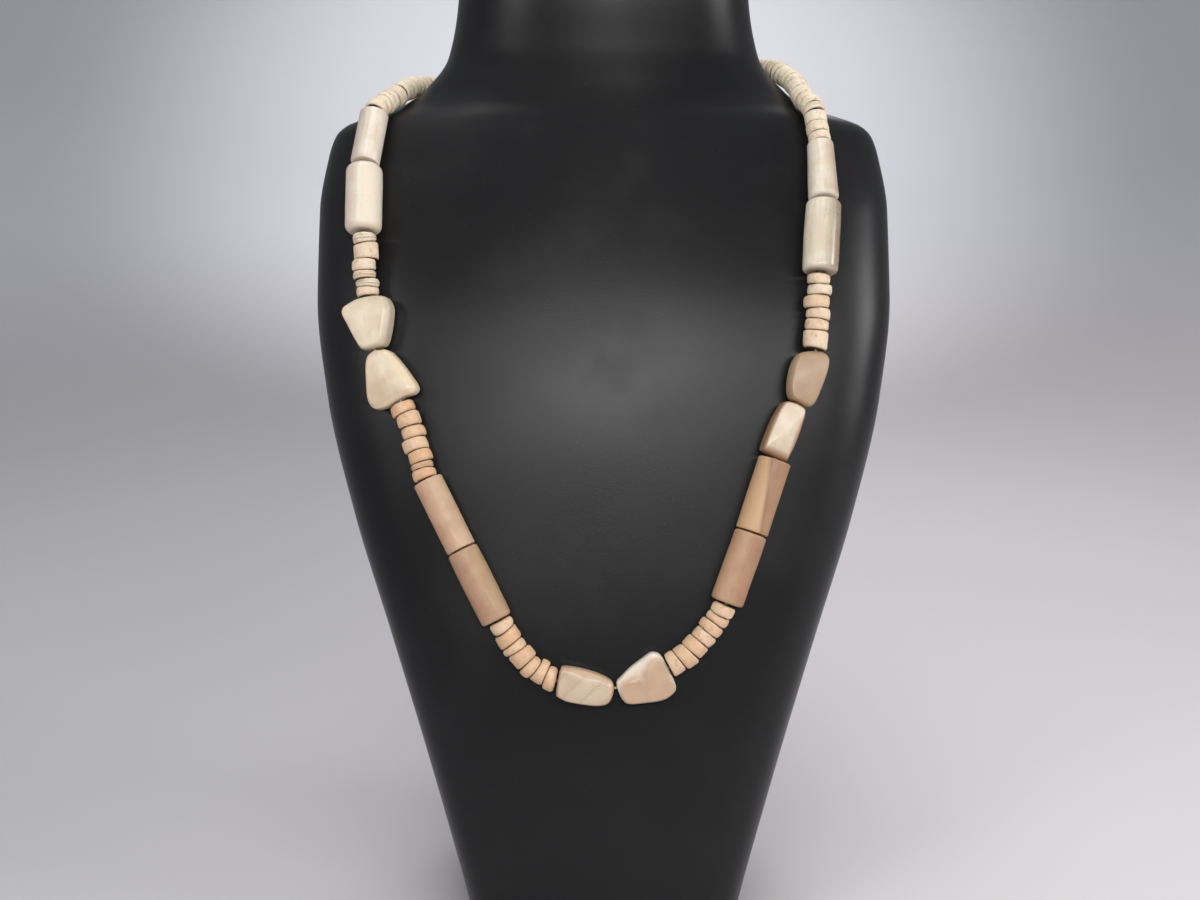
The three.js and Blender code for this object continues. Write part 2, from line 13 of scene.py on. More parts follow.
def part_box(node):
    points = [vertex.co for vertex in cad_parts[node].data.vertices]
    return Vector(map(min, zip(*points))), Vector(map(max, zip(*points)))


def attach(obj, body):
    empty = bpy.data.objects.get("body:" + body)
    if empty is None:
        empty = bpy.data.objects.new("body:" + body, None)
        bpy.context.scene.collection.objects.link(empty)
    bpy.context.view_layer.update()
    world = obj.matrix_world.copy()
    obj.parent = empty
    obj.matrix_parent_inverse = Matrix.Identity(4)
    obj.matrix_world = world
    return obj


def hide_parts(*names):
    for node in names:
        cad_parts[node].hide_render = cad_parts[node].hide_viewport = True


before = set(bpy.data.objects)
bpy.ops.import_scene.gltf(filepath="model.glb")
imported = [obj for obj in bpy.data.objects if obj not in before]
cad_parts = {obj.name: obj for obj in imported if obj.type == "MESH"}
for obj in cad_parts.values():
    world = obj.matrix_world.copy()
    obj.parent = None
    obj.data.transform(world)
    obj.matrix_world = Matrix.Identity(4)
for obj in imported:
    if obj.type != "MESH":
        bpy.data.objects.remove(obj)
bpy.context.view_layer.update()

# The camera stands level with the upper chest, under half a metre away, and tips down a little.
camera = bpy.data.objects.new("camera", bpy.data.cameras.new("camera"))
camera.data.lens = 36
camera.data.sensor_width = 36
camera.location = (-0.0013, -0.4181, 0.2276)
camera.rotation_euler = (math.radians(81), 0, 0)
bpy.context.scene.collection.objects.link(camera)
bpy.context.scene.camera = camera


# The bust: one moulded shell with a flat foot, a chest that widens upwards, flat-topped shoulders
# and a cut neck, sprayed in a smooth soft black. Its edges are rounded all round.
bust_height = 0.368
bust_width = 0.2064
bust_front = 0.049
bust_back = 0.082
bust_edge = 0.004
bust_sides = 200
bust_rings = 260
bust_levels = [
    {"up": 0.0, "wide": 0.442, "front": 1.0, "back": 0.598, "square": 5.0},
    {"up": 0.057, "wide": 0.492, "front": 0.98, "back": 0.604, "square": 5.0},
    {"up": 0.163, "wide": 0.605, "front": 0.878, "back": 0.622, "square": 4.6},
    {"up": 0.272, "wide": 0.731, "front": 0.735, "back": 0.646, "square": 4.2},
    {"up": 0.38, "wide": 0.86, "front": 0.571, "back": 0.671, "square": 3.7},
    {"up": 0.489, "wide": 0.959, "front": 0.408, "back": 0.701, "square": 3.2},
    {"up": 0.584, "wide": 0.999, "front": 0.245, "back": 0.732, "square": 2.9},
    {"up": 0.666, "wide": 1.0, "front": 0.065, "back": 0.768, "square": 2.45},
    {"up": 0.72, "wide": 0.975, "front": -0.067, "back": 0.805, "square": 2.05},
    {"up": 0.74, "wide": 0.953, "front": -0.115, "back": 0.823, "square": 1.92},
    {"up": 0.75, "wide": 0.918, "front": -0.139, "back": 0.834, "square": 1.88},
    {"up": 0.758, "wide": 0.845, "front": -0.157, "back": 0.846, "square": 1.88},
    {"up": 0.765, "wide": 0.755, "front": -0.172, "back": 0.857, "square": 1.92},
    {"up": 0.783, "wide": 0.65, "front": -0.204, "back": 0.878, "square": 2.0},
    {"up": 0.818, "wide": 0.554, "front": -0.245, "back": 0.915, "square": 2.06},
    {"up": 0.87, "wide": 0.5185, "front": -0.273, "back": 0.951, "square": 2.1},
    {"up": 0.924, "wide": 0.505, "front": -0.273, "back": 0.976, "square": 2.1},
    {"up": 1.0, "wide": 0.4845, "front": -0.245, "back": 1.0, "square": 2.1},
]


def smooth_column(rows, column, places):
    """Reads one column of a table at places between its rows, on a curve that never overshoots."""
    x = np.array([row["up"] for row in rows])
    y = np.array([row[column] for row in rows])
    rise = np.diff(y) / np.diff(x)
    before, after = rise[:-1], rise[1:]
    both = np.where(before * after > 0, 1.0, 0.0)
    middle = both * 2 * before * after / np.where(both > 0, before + after, 1.0)
    slope = np.concatenate([rise[:1], middle, rise[-1:]])
    i = np.clip(np.searchsorted(x, places, side="right") - 1, 0, len(x) - 2)
    span = x[i + 1] - x[i]
    t = np.clip((places - x[i]) / span, 0, 1)
    hold = y[i] * (2 * t**3 - 3 * t**2 + 1) + y[i + 1] * (3 * t**2 - 2 * t**3)
    lean = slope[i] * (t**3 - 2 * t**2 + t) + slope[i + 1] * (t**3 - t**2)
    return hold + span * lean


def skin_faces(rings, sides, closed):
    """Faces between rings of points, and flat ends where the skin isn't closed on itself."""
    i = np.arange(rings if closed else rings - 1)[:, None]
    j = np.arange(sides)[None, :]
    k, next_ring = (j + 1) % sides, (i + 1) % rings
    corners = [i * sides + j, i * sides + k, next_ring * sides + k, next_ring * sides + j]
    faces = np.stack(corners, -1).reshape(-1, 4).tolist()
    if not closed:
        last = (rings - 1) * sides
        faces.append(list(range(sides))[::-1])
        faces.append([last + side for side in range(sides)])
    return faces


def make_piece(name, points, faces, material, slot, nodes, **marks):
    """One piece of the object: its mesh, its finish, the solids it stands for and its marks."""
    mesh = bpy.data.meshes.new(name)
    mesh.from_pydata([tuple(point) for point in points], [], faces)
    for mark, values in marks.items():
        values = np.asarray(values, np.float32)
        kind, field = ("FLOAT_VECTOR", "vector") if values.ndim == 2 else ("FLOAT", "value")
        mesh.attributes.new(mark, kind, "POINT").data.foreach_set(field, values.ravel())
    mesh.shade_smooth()
    mesh.materials.append(material)
    piece = bpy.data.objects.new(name, mesh)
    bpy.context.scene.collection.objects.link(piece)
    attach(piece, "root")
    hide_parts(*nodes)


def add(tree, kind, inputs=None, **settings):
    """Adds a node and fills its inputs, each with a value or with another node's output."""
    node = tree.nodes.new("ShaderNode" + kind)
    for setting, value in settings.items():
        setattr(node, setting, value)
    for key, value in (inputs or {}).items():
        if isinstance(value, bpy.types.NodeSocket):
            tree.links.new(value, node.inputs[key])
        else:
            node.inputs[key].default_value = value
    return node


def cloudiness(tree, place, size, detail=3.0, rough=0.5):
    """Noise with features of a size in metres, as a value."""
    settings = {"Vector": place, "Scale": 1 / size, "Detail": detail, "Roughness": rough}
    return add(tree, "TexNoise", settings).outputs[0]


def above(tree, value, low, high):
    """A soft mask that rises from 0 to 1 as a value goes from low to high."""
    inputs = {"Value": value, "From Min": low, "From Max": high}
    return add(tree, "MapRange", inputs, interpolation_type="SMOOTHSTEP").outputs[0]


def between(tree, mask, first, second):
    """Goes from one colour to another by a mask."""
    node = add(tree, "Mix", {0: mask, 6: first, 7: second}, data_type="RGBA")
    return node.outputs[2]


def tinted(tree, mask, color, tint):
    """Darkens or warms a colour by a mask, with a tint that multiplies it."""
    inputs = {0: mask, 6: color, 7: (*tint, 1)}
    return add(tree, "Mix", inputs, data_type="RGBA", blend_type="MULTIPLY").outputs[2]


def scaled(tree, value, low, high):
    """Spreads a value of 0 to 1 over another range."""
    return add(tree, "MapRange", {"Value": value, "To Min": low, "To Max": high}).outputs[0]


def new_group(name, inputs, outputs):
    """A shader node group with named sockets, each a kind such as Float, Color or Vector."""
    tree = bpy.data.node_groups.new(name, "ShaderNodeTree")
    for socket, kind in inputs.items():
        tree.interface.new_socket(socket, in_out="INPUT", socket_type="NodeSocket" + kind)
    for socket, kind in outputs.items():
        tree.interface.new_socket(socket, in_out="OUTPUT", socket_type="NodeSocket" + kind)
    return tree, tree.nodes.new("NodeGroupInput").outputs, tree.nodes.new("NodeGroupOutput").inputs


def use_group(tree, group, place):
    """Places a node group in a material, at a place on the surface."""
    return add(tree, "Group", {"Place": place}, node_tree=group).outputs


def new_material(name, **constants):
    """A material with its one shader, and the shader's plain values set on it."""
    material = bpy.data.materials.new(name)
    material.use_nodes = True
    shader = material.node_tree.nodes["Principled BSDF"]
    for socket, value in constants.items():
        shader.inputs[socket.replace("_", " ")].default_value = value
    return material, material.node_tree, shader


def feed(tree, shader, **sources):
    """Links the parts of a finish that change over the surface to their sockets."""
    for socket, source in sources.items():
        tree.links.new(source, shader.inputs[socket.replace("_", " ")])


def relief(tree, height, depth):
    """A bump, with its depth in metres."""
    return add(tree, "Bump", {"Height": height, "Distance": depth, "Strength": 1.0}).outputs[0]


# Dust and rubbing: a soft cloudy mask and a scatter of small specks, for any handled surface.
smudge_size = 0.06
specks_close = 260.0
handling, handled, handling_out = new_group(
    "Handling", {"Place": "Vector"}, {"Smudges": "Float", "Specks": "Float"}
)
broad = cloudiness(handling, handled["Place"], smudge_size, 5.0, 0.6)
handling.links.new(above(handling, broad, 0.42, 0.72), handling_out["Smudges"])
dust = {"Vector": handled["Place"], "Scale": specks_close}
speck_distance = add(handling, "TexVoronoi", dust).outputs[0]
handling.links.new(above(handling, speck_distance, 0.07, 0.02), handling_out["Specks"])

paint_black = (0.007, 0.0072, 0.0078, 1)
paint_rubbed = (0.0105, 0.0107, 0.0113, 1)
paint_dust = (0.035, 0.035, 0.036, 1)
peel_size = 0.0006
peel_depth = 0.00002
bust_paint, paint_tree, paint = new_material(
    "soft_black_spray", IOR=1.45, Specular_IOR_Level=0.34
)
paint_place = add(paint_tree, "TexCoord").outputs["Object"]
wear = use_group(paint_tree, handling, paint_place)
black = between(paint_tree, wear["Smudges"], paint_black, paint_rubbed)
black = between(paint_tree, wear["Specks"], black, paint_dust)
orange_peel = cloudiness(paint_tree, paint_place, peel_size, 2.0)
feed(
    paint_tree,
    paint,
    Base_Color=black,
    Roughness=scaled(paint_tree, wear["Smudges"], 0.33, 0.4),
    Normal=relief(paint_tree, orange_peel, peel_depth),
)

edge_share = bust_edge / bust_height
edge_rings = 7
turn_in = np.linspace(0, math.pi / 2, edge_rings)
levels = np.concatenate(
    [
        edge_share * (1 - np.sin(turn_in[::-1])),
        np.linspace(edge_share, 1 - edge_share, bust_rings)[1:-1],
        1 - edge_share * (1 - np.sin(turn_in)),
    ]
)
inset = np.zeros(len(levels))
inset[:edge_rings] = bust_edge * (1 - np.cos(turn_in[::-1]))
inset[-edge_rings:] = bust_edge * (1 - np.cos(turn_in))
wide, front, back, square = (
    smooth_column(bust_levels, column, levels)[:, None]
    for column in ("wide", "front", "back", "square")
)
half_wide = wide * bust_width / 2
forward, backward = -front * bust_front, back * bust_back
around = np.linspace(0, 2 * math.pi, bust_sides, endpoint=False)[None, :]
sideways = np.sign(np.sin(around)) * np.abs(np.sin(around)) ** (2 / square)
depthways = np.sign(np.cos(around)) * np.abs(np.cos(around)) ** (2 / square)
bust_x = (half_wide - inset[:, None]) * sideways
bust_y = (forward + backward) / 2 - ((backward - forward) / 2 - inset[:, None]) * depthways
bust_z = np.repeat(levels[:, None] * bust_height, bust_sides, axis=1)
bust_points = np.stack([bust_x, bust_y, bust_z], -1).reshape(-1, 3)
bust_faces = skin_faces(len(levels), bust_sides, False)
make_piece("display_bust", bust_points, bust_faces, bust_paint, "stand", ["neck_bust"])


# The thread: one waxed cord that runs through every bead and back on itself, with no clasp. Its
# joints, where one bead meets the next, give the line that all the beads are strung on.
thread_reach = 0.001
cord_dark = (0.3, 0.24, 0.16, 1)
cord_pale = (0.6, 0.52, 0.4, 1)
cord_twists = 900.0
cord_depth = 0.00008
cord_finish, cord_tree, cord = new_material("waxed_cord", IOR=1.5, Specular_IOR_Level=0.3)
cord_place = add(cord_tree, "TexCoord").outputs["Object"]
strands = add(
    cord_tree,
    "TexWave",
    {"Vector": cord_place, "Scale": cord_twists, "Distortion": 2.0},
    bands_direction="DIAGONAL",
).outputs[1]
feed(
    cord_tree,
    cord,
    Base_Color=between(cord_tree, strands, cord_dark, cord_pale),
    Roughness=scaled(cord_tree, strands, 0.6, 0.85),
    Normal=relief(cord_tree, strands, cord_depth),
)
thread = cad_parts["thread"]
thread.data.materials.clear()
thread.data.materials.append(cord_finish)


def ring_middles(mesh):
    """Middles of a thin closed tube's rings, in order round the loop."""
    near = KDTree(len(mesh.vertices))
    for vertex in mesh.vertices:
        near.insert(vertex.co, vertex.index)
    near.balance()
    ring_of, middles = {}, []
    for vertex in mesh.vertices:
        if vertex.index not in ring_of:
            found = near.find_range(vertex.co, thread_reach)
            ring_of.update({index: len(middles) for _, index, _ in found})
            corners = {tuple(np.round(point, 7)) for point, _, _ in found}
            middles.append(np.mean(sorted(corners), axis=0))
    links = {ring: set() for ring in range(len(middles))}
    for edge in mesh.edges:
        one, other = (ring_of[index] for index in edge.vertices)
        if one != other:
            links[one].add(other)
            links[other].add(one)
    order = [0, min(links[0])]
    while len(order) < len(middles):
        order.append(next(ring for ring in sorted(links[order[-1]]) if ring != order[-2]))
    return np.array(middles)[order]


joints = ring_middles(thread.data)
bust_skin = BVHTree.FromPolygons(bust_points.tolist(), bust_faces)


def node_middle(name):
    """The middle of a solid's box."""
    low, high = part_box(name)
    return (np.array(low) + np.array(high)) / 2


def nearest_stretch(name):
    """The stretch of thread that a bead sits on, by the number of its first joint."""
    middles = (joints + np.roll(joints, -1, axis=0)) / 2
    return int(np.argmin(np.linalg.norm(middles - node_middle(name), axis=1)))


if (nearest_stretch("tube_bead_2") - nearest_stretch("tube_bead_1")) % len(joints) > 2:
    joints = joints[::-1]


def joint(number):
    """A joint of the thread by its number, counted on past the end of the loop."""
    return joints[number % len(joints)]


def unit(vector):
    return vector / np.linalg.norm(vector)


def frame_at(point, along):
    """Directions at a point of the string: along it, away from the bust's skin, and to the left."""
    foot = np.array(bust_skin.find_nearest(Vector(point))[0])
    away = point - foot
    away = unit(away - along * (away @ along))
    return np.array([along, np.cross(away, along), away])


# Bone: dense and pale, with fine streaks along its grain, cloudy warmer patches, and dark specks
# where the grain opens. The place is measured in each bead's own frame, along, across and out.
streak_width = 0.0009
streak_draw = (0.08, 1.0, 1.0)
patch_size = 0.006
pore_size = 0.0007
grit_size = 0.00035
grit_depth = 0.00002
bone_figure, figure_in, figure_out = new_group(
    "Bone figure",
    {"Place": "Vector"},
    {"Streaks": "Float", "Patches": "Float", "Pores": "Float", "Grit": "Float"},
)
bone_place = figure_in["Place"]
stretched = {0: bone_place, 1: streak_draw}
drawn_out = add(bone_figure, "VectorMath", stretched, operation="MULTIPLY").outputs[0]
pore_noise = cloudiness(bone_figure, bone_place, pore_size, 2.0, 0.7)
bone_marks = {
    "Streaks": cloudiness(bone_figure, drawn_out, streak_width, 4.0, 0.6),
    "Patches": cloudiness(bone_figure, bone_place, patch_size, 3.0),
    "Pores": above(bone_figure, pore_noise, 0.64, 0.76),
    "Grit": cloudiness(bone_figure, bone_place, grit_size, 3.0),
}
for mark, source in bone_marks.items():
    bone_figure.links.new(source, figure_out[mark])

# Where the two sides across a bead meet; one side gets painted light and shade.
painted_side_light_blend = (-0.004, 0.004)
patch_tint = (0.9, 0.86, 0.82)
streak_tint = (0.72, 0.66, 0.6)
pore_brown = (0.2, 0.12, 0.06, 1)


def bone_finish(name, bead):
    """Polished bone in a bead's colours: its body, a second colour on one side across it that is
    painted light and shade, and an edge colour on rims, ends and facets that is partly its own tone
    and partly painted light and shade.
    """
    material, tree, shader = new_material(
        name,
        IOR=1.5,
        Subsurface_Weight=0.12,
        Subsurface_Scale=0.0015,
        Coat_Weight=bead.get("coat", 0.25),
        Coat_Roughness=0.2,
    )
    place = add(tree, "Attribute", attribute_name="place").outputs["Vector"]
    rim = add(tree, "Attribute", attribute_name="edge").outputs["Fac"]
    figure = use_group(tree, bone_figure, place)
    across = add(tree, "SeparateXYZ", {0: place}).outputs[1]
    # Painted light and shade: the two sides across the bead get different colours, and the side
    # toward the middle of the chest is mostly the lighter one.
    painted_side_light_mask = above(tree, across, *painted_side_light_blend)
    color = between(tree, painted_side_light_mask, (*bead["body"], 1), (*bead.get("far", bead["body"]), 1))
    patched = above(tree, figure["Patches"], 0.35, 0.68)
    color = tinted(tree, patched, color, patch_tint)
    streaks = above(tree, figure["Streaks"], 0.62 - 0.25 * bead.get("streaky", 0.15), 0.8)
    color = tinted(tree, scaled(tree, streaks, 0.0, 0.6), color, streak_tint)
    veins, seam_and_highlight = bead.get("veins"), bead.get("seam_and_highlight")
    if veins:
        color = between(tree, vein_lines(tree, place, veins), color, (*veins["color"], 1))
    # These colours draw a real seam on tube_bead_6 and a painted highlight, a lighter band with a
    # bright line, on tube_bead_2.
    if seam_and_highlight:
        side, line = seam_and_highlight_masks(tree, place, seam_and_highlight)
        color = between(tree, side, color, (*seam_and_highlight["color"], 1))
        color = between(tree, scaled(tree, line, 0.0, 0.5), color, (*seam_and_highlight["line"], 1))
    # Painted light and shade on rims, ends and facets: the edge colour is partly the bone's own
    # tone there, partly a painted highlight on some rims and painted shade on facets facing away
    # from the light.
    color = between(tree, above(tree, rim, 0.15, 0.95), color, (*bead["edge"], 1))
    color = between(tree, scaled(tree, figure["Pores"], 0.0, 0.35), color, pore_brown)
    feed(
        tree,
        shader,
        Base_Color=color,
        Roughness=scaled(tree, figure["Patches"], bead["gloss"], bead["gloss"] + 0.16),
        Normal=relief(tree, figure["Grit"], grit_depth),
    )
    return material


def vein_lines(tree, place, veins):
    """Fine slanting veins, as a mask."""
    turn = {"Vector": place, "Angle": veins["angle"]}
    slant = add(tree, "VectorRotate", turn, rotation_type="Z_AXIS").outputs[0]
    waver = {"Distortion": 1.5, "Detail": 2.0, "Detail Scale": 40.0}
    wave = add(tree, "TexWave", {"Vector": slant, "Scale": veins["close"], **waver}).outputs[1]
    return scaled(tree, above(tree, wave, 0.86, 0.99), 0.0, 0.6)


seam_and_highlight_half = 0.0012


def seam_and_highlight_masks(tree, place, seam_and_highlight):
    """The side of a bead past a slanting line, and the line itself, as masks: a colour boundary in
    the bone on one bead, a painted highlight band and line on another.
    """
    past = add(
        tree, "VectorMath", {0: place, 1: (-seam_and_highlight["slant"], 1.0, 0.0)}, operation="DOT_PRODUCT"
    ).outputs["Value"]
    side = above(tree, past, seam_and_highlight["at"] - seam_and_highlight["soft"], seam_and_highlight["at"] + seam_and_highlight["soft"])
    rising = above(tree, past, seam_and_highlight["at"] - seam_and_highlight_half, seam_and_highlight["at"])
    falling = above(tree, past, seam_and_highlight["at"] + seam_and_highlight_half, seam_and_highlight["at"])
    return side, add(tree, "Math", {0: rising, 1: falling}, operation="MULTIPLY").outputs[0]


# The tubes: eight long round beads cut from bone rod, drilled end to end and polished. Some have
# crisp ends, others are barrels with ends rounded over, and one tapers. One shows a seam along it;
# another has a painted highlight down it, a lighter band with a bright line.
bore = 0.0008
tube_sides = 72
tube_swell = 0.018
figure_step = 0.05
# A tube's second colour, on its side toward the middle of the chest, is painted light and shade.
tube_beads = [
    {"node": "tube_bead_1", "end": 0.0006, "belly": 0.0,
     "gloss": 0.3, "streaky": 0.9,
     "body": (0.612, 0.528, 0.438), "far": (0.86, 0.775, 0.647), "edge": (0.803, 0.714, 0.598)},
    {"node": "tube_bead_2", "end": 0.0024, "belly": 0.02,
     "gloss": 0.24, "streaky": 0.3,
     "body": (0.76, 0.66, 0.53), "far": (0.839, 0.742, 0.59), "edge": (0.683, 0.551, 0.413),
     # Painted highlight: a lighter band and a bright line down this tube.
     "seam_and_highlight": {"at": 0.0014, "slant": 0.0, "soft": 0.0003, "color": (0.82, 0.72, 0.57),
              "line": (0.9, 0.85, 0.76)}},
    {"node": "tube_bead_3", "end": 0.0005, "belly": 0.0,
     "gloss": 0.44, "coat": 0.05, "streaky": 0.5,
     "body": (0.58, 0.36, 0.235), "far": (0.57, 0.395, 0.255), "edge": (0.632, 0.432, 0.283)},
    {"node": "tube_bead_4", "end": 0.0009, "belly": 0.03,
     "gloss": 0.44, "coat": 0.05, "streaky": 0.4,
     "body": (0.472, 0.278, 0.179), "far": (0.451, 0.297, 0.17), "edge": (0.566, 0.368, 0.233)},
    {"node": "tube_bead_5", "end": 0.0011, "belly": 0.01,
     "gloss": 0.46, "coat": 0.05, "streaky": 0.4,
     "body": (0.395, 0.221, 0.129), "far": (0.509, 0.309, 0.182), "edge": (0.546, 0.343, 0.215)},
    {"node": "tube_bead_6", "end": 0.0006, "belly": 0.0,
     "gloss": 0.42, "coat": 0.05, "streaky": 0.6,
     "body": (0.4, 0.23, 0.125), "far": (0.332, 0.181, 0.115), "edge": (0.435, 0.255, 0.146),
     "seam_and_highlight": {"at": 0.0004, "slant": 0.17, "soft": 0.0003, "color": (0.56, 0.35, 0.19),
              "line": (0.25, 0.14, 0.07)}},
    {"node": "tube_bead_7", "end": 0.0016, "belly": 0.03,
     "gloss": 0.18, "streaky": 0.8,
     "body": (0.33, 0.255, 0.185), "far": (0.829, 0.766, 0.606), "edge": (0.506, 0.394, 0.307)},
    {"node": "tube_bead_8", "end": 0.0012, "belly": 0.0, "taper": 0.13,
     "gloss": 0.26, "streaky": 0.9,
     "body": (0.53, 0.42, 0.325), "far": (0.86, 0.788, 0.642), "edge": (0.86, 0.768, 0.65)},
]


def bead_place(node):
    """A bead's middle and directions on the thread, and its solid's reach in them."""
    first = nearest_stretch(node)
    start, end = joint(first), joint(first + 1)
    middle = (start + end) / 2
    axes = frame_at(middle, unit(end - start))
    corners = np.array([v.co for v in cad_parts[node].data.vertices]) - middle
    reach = corners @ axes.T
    return middle, axes, reach.min(axis=0), reach.max(axis=0)


def uneven(points, size, amount, seed):
    """Noise at points given in metres, one value each."""
    shift = Vector((seed * 0.37, seed * 0.71, seed * 0.13))
    return np.array([noise.noise(Vector(point) / size + shift) for point in points]) * amount


def tube_profile(length, radius, end, belly, taper):
    """Rows of distance along, radius and edge mark, from the bore round the outside and back."""
    bend = np.linspace(0, math.pi / 2, 8)
    run = np.linspace(0, 1, 26)[1:-1]
    along = np.concatenate([end * (1 - np.cos(bend)), end + (length - 2 * end) * run,
                            length - end * (1 - np.cos(bend[::-1]))])
    share = along / length
    outer = radius * (1 - belly * (2 * share - 1) ** 2) * (1 - taper * share)
    flat = np.zeros(len(run))
    rounding = end * (1 - np.sin(bend))
    inner = np.concatenate([rounding, flat, rounding[::-1]])
    marked = 1 - np.sin(bend) * 0.7
    mark = np.concatenate([marked, flat, marked[::-1]])
    face = np.array([0.35, 0.7])
    front = [(0.0, bore + (outer[0] - inner[0] - bore) * f, 0.6) for f in face]
    rear = [(length, bore + (outer[-1] - inner[-1] - bore) * f, 0.6) for f in face[::-1]]
    rows = [(0.0004, bore * 0.9, 1.0), (0.0, bore * 1.25, 1.0), *front]
    rows += list(zip(along, outer - inner, mark))
    rows += [*rear, (length, bore * 1.25, 1.0), (length - 0.0004, bore * 0.9, 1.0)]
    return np.array(rows)


for number, bead in enumerate(tube_beads):
    middle, axes, low, high = bead_place(bead["node"])
    length, taper = high[0] - low[0], bead.get("taper", 0.0)
    rows = tube_profile(length, high[1], bead["end"], bead["belly"], taper)
    angle = np.linspace(0, 2 * math.pi, tube_sides, endpoint=False)
    along = np.repeat(rows[:, 0] + low[0], tube_sides)
    radius = np.repeat(rows[:, 1], tube_sides)
    spin = np.tile(angle, len(rows))
    local = np.stack([along, radius * np.cos(spin), radius * np.sin(spin)], -1)
    swell = 1 + uneven(local, 0.009, tube_swell, number + 3)
    local[:, 1:] *= swell[:, None]
    make_piece(
        "tube_" + bead["node"][-1],
        middle + local @ axes,
        skin_faces(len(rows), tube_sides, True),
        bone_finish("bone_tube_" + bead["node"][-1], bead),
        "tube_bone",
        [bead["node"]],
        place=local + np.array([0, 0, number * figure_step]),
        edge=np.repeat(rows[:, 2], tube_sides),
    )


# The flat beads: four rounded wedges and two slabs sawn from thick bone, ground to soft facets
# along some edges, drilled on the line of the thread and polished like pebbles. Each outline is
# listed along and across the thread in millimetres, with the width of the facet there.
flat_sides = 160
outline_steps = 24
back_facet = 0.001
flat_wobble = 0.00012
flat_figure_start = 0.5
flat_figure_step = 0.043
